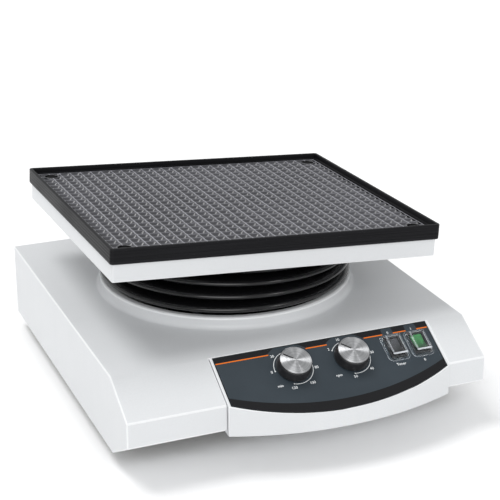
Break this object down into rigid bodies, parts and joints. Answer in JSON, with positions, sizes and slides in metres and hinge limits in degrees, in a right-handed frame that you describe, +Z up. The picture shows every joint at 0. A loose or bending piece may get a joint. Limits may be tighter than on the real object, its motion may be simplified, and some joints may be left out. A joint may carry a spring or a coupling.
{
  "type": "laboratory platform shaker",
  "caption": "Bench-top wave-motion shaker: rubber-matted tray on a ribbed bellows above a wedge-fronted housing with dials and switches.",
  "frame": {"origin": "on the bench, in the middle of the box round the whole part at rest", "axes": "+X to the user's right, +Y to the rear, +Z up; the console faces -Y"},
  "size_m": [0.32, 0.3752, 0.1779],
  "materials": {
    "housing": "cool off-white satin powder coat and matching mouldings",
    "overlay": "printed polyester sheet, fine matt texture",
    "black": "black moulded plastic, satin",
    "mat": "charcoal moulded rubber with a waffle pattern",
    "rubber": "glossy black moulded rubber",
    "foot": "dark rubber, matt",
    "steel": "turned or sheet steel",
    "aluminium": "spun and turned aluminium",
    "board": "green circuit board",
    "green": "translucent green rocker",
    "grey": "dark grey plastic",
    "clear": "soft clear plastic cover"
  },
  "bodies": {
    "housing": {"housing_shell": "housing", "base_plate": "steel", "base_screw_front_left": "steel", "base_screw_front_right": "steel", "base_screw_rear_left": "steel", "base_screw_rear_right": "steel", "foot_front_left": "foot", "foot_front_right": "foot", "foot_rear_left": "foot", "foot_rear_right": "foot", "console_shell": "housing", "console_overlay": "overlay", "timer_potentiometer": "grey", "timer_potentiometer_nut": "steel", "speed_potentiometer": "grey", "speed_potentiometer_nut": "steel", "timer_switch_frame": "black", "timer_switch_cover": "clear", "power_switch_frame": "black", "power_switch_cover": "clear", "bearing_housing": "aluminium", "lower_bearing": "steel", "upper_bearing": "steel", "gear_motor": "black", "motor_bracket": "steel", "drive_belt": "black", "bellows_clamp_lower": "steel", "power_supply": "steel", "control_board": "board", "mains_inlet": "black"},
    "drive_hub": {"main_shaft": "steel", "driven_pulley": "aluminium", "wobble_hub": "steel"},
    "motor_output": {"motor_pulley": "aluminium", "motor_shaft": "steel"},
    "tray": {"tray_bearing": "steel", "tray_carrier": "aluminium", "bellows_clamp_upper": "steel", "tray_shell": "housing", "rubber_mat": "mat", "tray_screw_front_left": "black", "tray_screw_front_right": "black", "tray_screw_rear_left": "black", "tray_screw_rear_right": "black"},
    "fold_1": {"bellows_fold_1": "rubber"},
    "fold_2": {"bellows_fold_2": "rubber"},
    "fold_3": {"bellows_fold_3": "rubber"},
    "fold_4": {"bellows_fold_4": "rubber"},
    "fold_5": {"bellows_fold_5": "rubber"},
    "timer_dial": {"timer_knob": "black", "timer_knob_face": "aluminium", "timer_knob_shaft": "steel"},
    "speed_dial": {"speed_knob": "black", "speed_knob_face": "aluminium", "speed_knob_shaft": "steel"},
    "timer_switch": {"timer_rocker": "grey"},
    "power_switch": {"power_rocker": "green"},
    "fuse_holder": {"fuse_drawer": "black"}
  },
  "joints": [
    {"name": "drive_spin", "type": "hinge", "parent": "housing", "child": "drive_hub", "pos_m": [0, 0.03135, 0.128], "axis": [0, 0, 1], "continuous": true},
    {"name": "motor_spin", "type": "hinge", "parent": "housing", "child": "motor_output", "pos_m": [0, 0.12335, 0.064], "axis": [0, 0, 1], "continuous": true},
    {"name": "tray_wobble", "type": "hinge", "parent": "drive_hub", "child": "tray", "pos_m": [0, 0.03135, 0.128], "axis": [0.0698, 0.037, 0.9969], "continuous": true},
    {"name": "fold_1_wobble", "type": "hinge", "parent": "drive_hub", "child": "fold_1", "pos_m": [0, 0.03135, 0.128], "axis": [0.007, 0.0037, 1], "continuous": true},
    {"name": "fold_2_wobble", "type": "hinge", "parent": "drive_hub", "child": "fold_2", "pos_m": [0, 0.03135, 0.128], "axis": [0.0209, 0.0111, 0.9997], "continuous": true},
    {"name": "fold_3_wobble", "type": "hinge", "parent": "drive_hub", "child": "fold_3", "pos_m": [0, 0.03135, 0.128], "axis": [0.0349, 0.0185, 0.9992], "continuous": true},
    {"name": "fold_4_wobble", "type": "hinge", "parent": "drive_hub", "child": "fold_4", "pos_m": [0, 0.03135, 0.128], "axis": [0.0489, 0.0259, 0.9985], "continuous": true},
    {"name": "fold_5_wobble", "type": "hinge", "parent": "drive_hub", "child": "fold_5", "pos_m": [0, 0.03135, 0.128], "axis": [0.0628, 0.0333, 0.9975], "continuous": true},
    {"name": "timer_turn", "type": "hinge", "parent": "housing", "child": "timer_dial", "pos_m": [-0.0098, -0.14515, 0.07133], "axis": [0, 0.4901, -0.8716], "range_deg": [-43, 248]},
    {"name": "speed_turn", "type": "hinge", "parent": "housing", "child": "speed_dial", "pos_m": [0.0425, -0.14532, 0.07123], "axis": [0, 0.4901, -0.8716], "range_deg": [-5, 240]},
    {"name": "timer_press", "type": "hinge", "parent": "housing", "child": "timer_switch", "pos_m": [0.084, -0.14354, 0.07051], "axis": [1, 0, 0], "range_deg": [0, 16]},
    {"name": "power_press", "type": "hinge", "parent": "housing", "child": "power_switch", "pos_m": [0.1066, -0.14354, 0.07051], "axis": [1, 0, 0], "range_deg": [0, 16]},
    {"name": "fuse_slide", "type": "slide", "parent": "housing", "child": "fuse_holder", "axis": [0, 1, 0], "range_m": [0, 0.018]}
  ],
  "couplings": [
    {"joint": "motor_spin", "follows": "drive_spin", "ratio": 2.5714},
    {"joint": "tray_wobble", "follows": "drive_spin", "ratio": -1},
    {"joint": "fold_1_wobble", "follows": "drive_spin", "ratio": -1},
    {"joint": "fold_2_wobble", "follows": "drive_spin", "ratio": -1},
    {"joint": "fold_3_wobble", "follows": "drive_spin", "ratio": -1},
    {"joint": "fold_4_wobble", "follows": "drive_spin", "ratio": -1},
    {"joint": "fold_5_wobble", "follows": "drive_spin", "ratio": -1}
  ]
}
